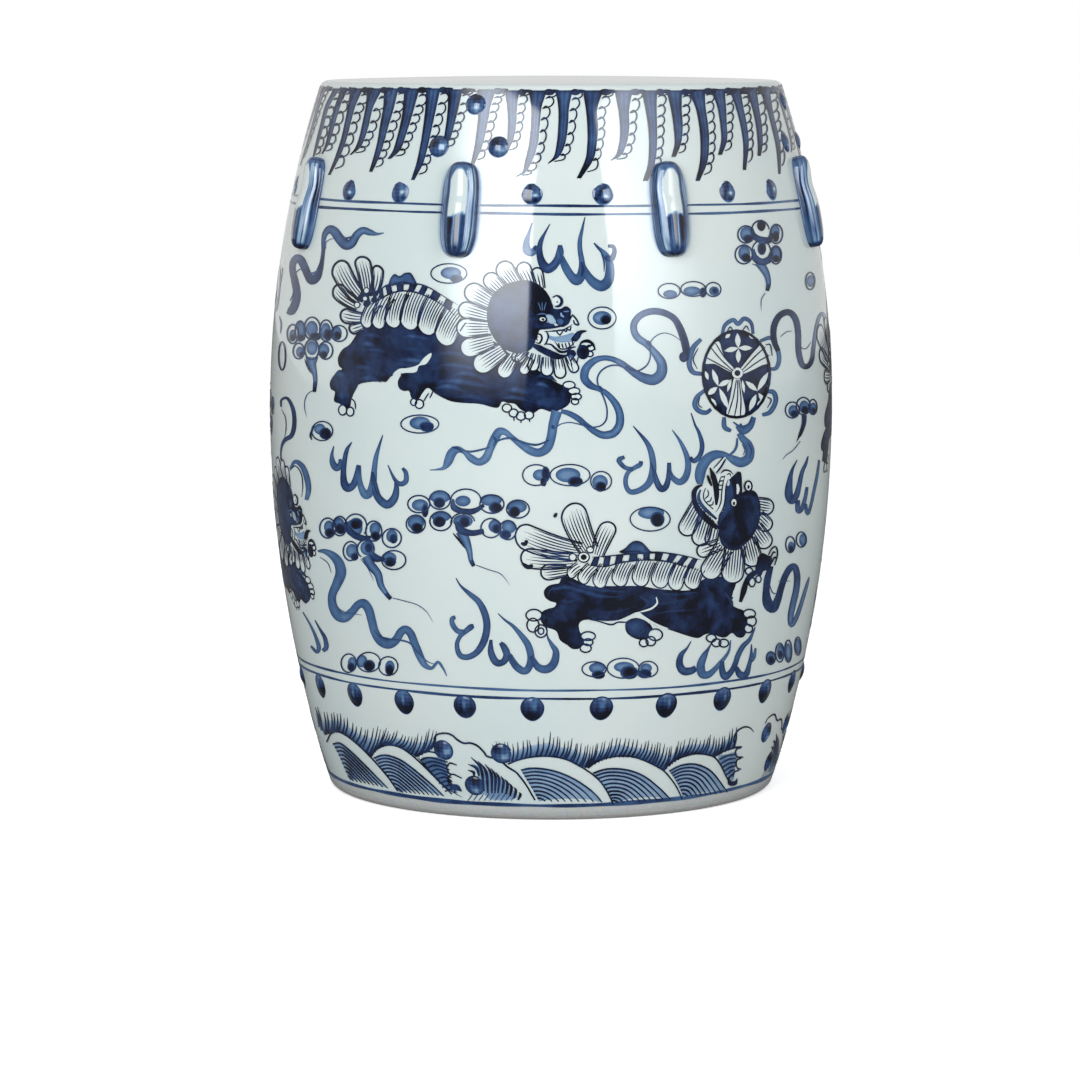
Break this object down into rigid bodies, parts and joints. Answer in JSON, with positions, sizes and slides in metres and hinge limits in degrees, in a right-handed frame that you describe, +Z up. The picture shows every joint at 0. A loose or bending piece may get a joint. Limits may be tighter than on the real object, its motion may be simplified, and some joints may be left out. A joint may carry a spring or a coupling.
{
  "type": "garden stool",
  "caption": "Hollow barrel-shaped glazed ceramic stool with a closed round seat, upright lugs on the shoulder, rows of low bosses and beads, and blue painted lions on white.",
  "frame": {"origin": "on the floor, on the barrel's axis, at the centre of the base", "axes": "+Z up along the barrel's axis; -Y is the side that faces the camera in the picture; +X is to its right"},
  "size_m": [0.3624, 0.3624, 0.457],
  "materials": {
    "white_glaze": "gloss",
    "lug_glaze": "gloss",
    "cobalt_glaze": "gloss",
    "biscuit": "matt"
  },
  "bodies": {
    "root": {"base_slab": "biscuit", "foot_beads_1": "cobalt_glaze", "foot_beads_2": "cobalt_glaze", "foot_beads_3": "cobalt_glaze", "foot_beads_4": "cobalt_glaze", "lower_boss_01": "cobalt_glaze", "lower_boss_02": "cobalt_glaze", "lower_boss_03": "cobalt_glaze", "lower_boss_04": "cobalt_glaze", "lower_boss_05": "cobalt_glaze", "lower_boss_06": "cobalt_glaze", "lower_boss_07": "cobalt_glaze", "lower_boss_08": "cobalt_glaze", "lower_boss_09": "cobalt_glaze", "lower_boss_10": "cobalt_glaze", "lower_boss_11": "cobalt_glaze", "lower_boss_12": "cobalt_glaze", "lower_boss_13": "cobalt_glaze", "lower_boss_14": "cobalt_glaze", "lower_boss_15": "cobalt_glaze", "lower_boss_16": "cobalt_glaze", "lower_boss_17": "cobalt_glaze", "lower_boss_18": "cobalt_glaze", "lower_boss_19": "cobalt_glaze", "lower_boss_20": "cobalt_glaze", "lower_boss_21": "cobalt_glaze", "lower_boss_22": "cobalt_glaze", "lower_boss_23": "cobalt_glaze", "lower_boss_24": "cobalt_glaze", "lower_wall": "white_glaze", "lug_1": "lug_glaze", "lug_2": "lug_glaze", "lug_3": "lug_glaze", "lug_4": "lug_glaze", "lug_5": "lug_glaze", "lug_6": "lug_glaze", "lug_7": "lug_glaze", "lug_8": "lug_glaze", "rim_beads_1": "cobalt_glaze", "rim_beads_2": "cobalt_glaze", "rim_beads_3": "cobalt_glaze", "rim_beads_4": "cobalt_glaze", "seat_slab": "white_glaze", "upper_boss_01": "cobalt_glaze", "upper_boss_02": "cobalt_glaze", "upper_boss_03": "cobalt_glaze", "upper_boss_04": "cobalt_glaze", "upper_boss_05": "cobalt_glaze", "upper_boss_06": "cobalt_glaze", "upper_boss_07": "cobalt_glaze", "upper_boss_08": "cobalt_glaze", "upper_boss_09": "cobalt_glaze", "upper_boss_10": "cobalt_glaze", "upper_boss_11": "cobalt_glaze", "upper_boss_12": "cobalt_glaze", "upper_boss_13": "cobalt_glaze", "upper_boss_14": "cobalt_glaze", "upper_boss_15": "cobalt_glaze", "upper_boss_16": "cobalt_glaze", "upper_wall": "white_glaze"}
  },
  "joints": []
}
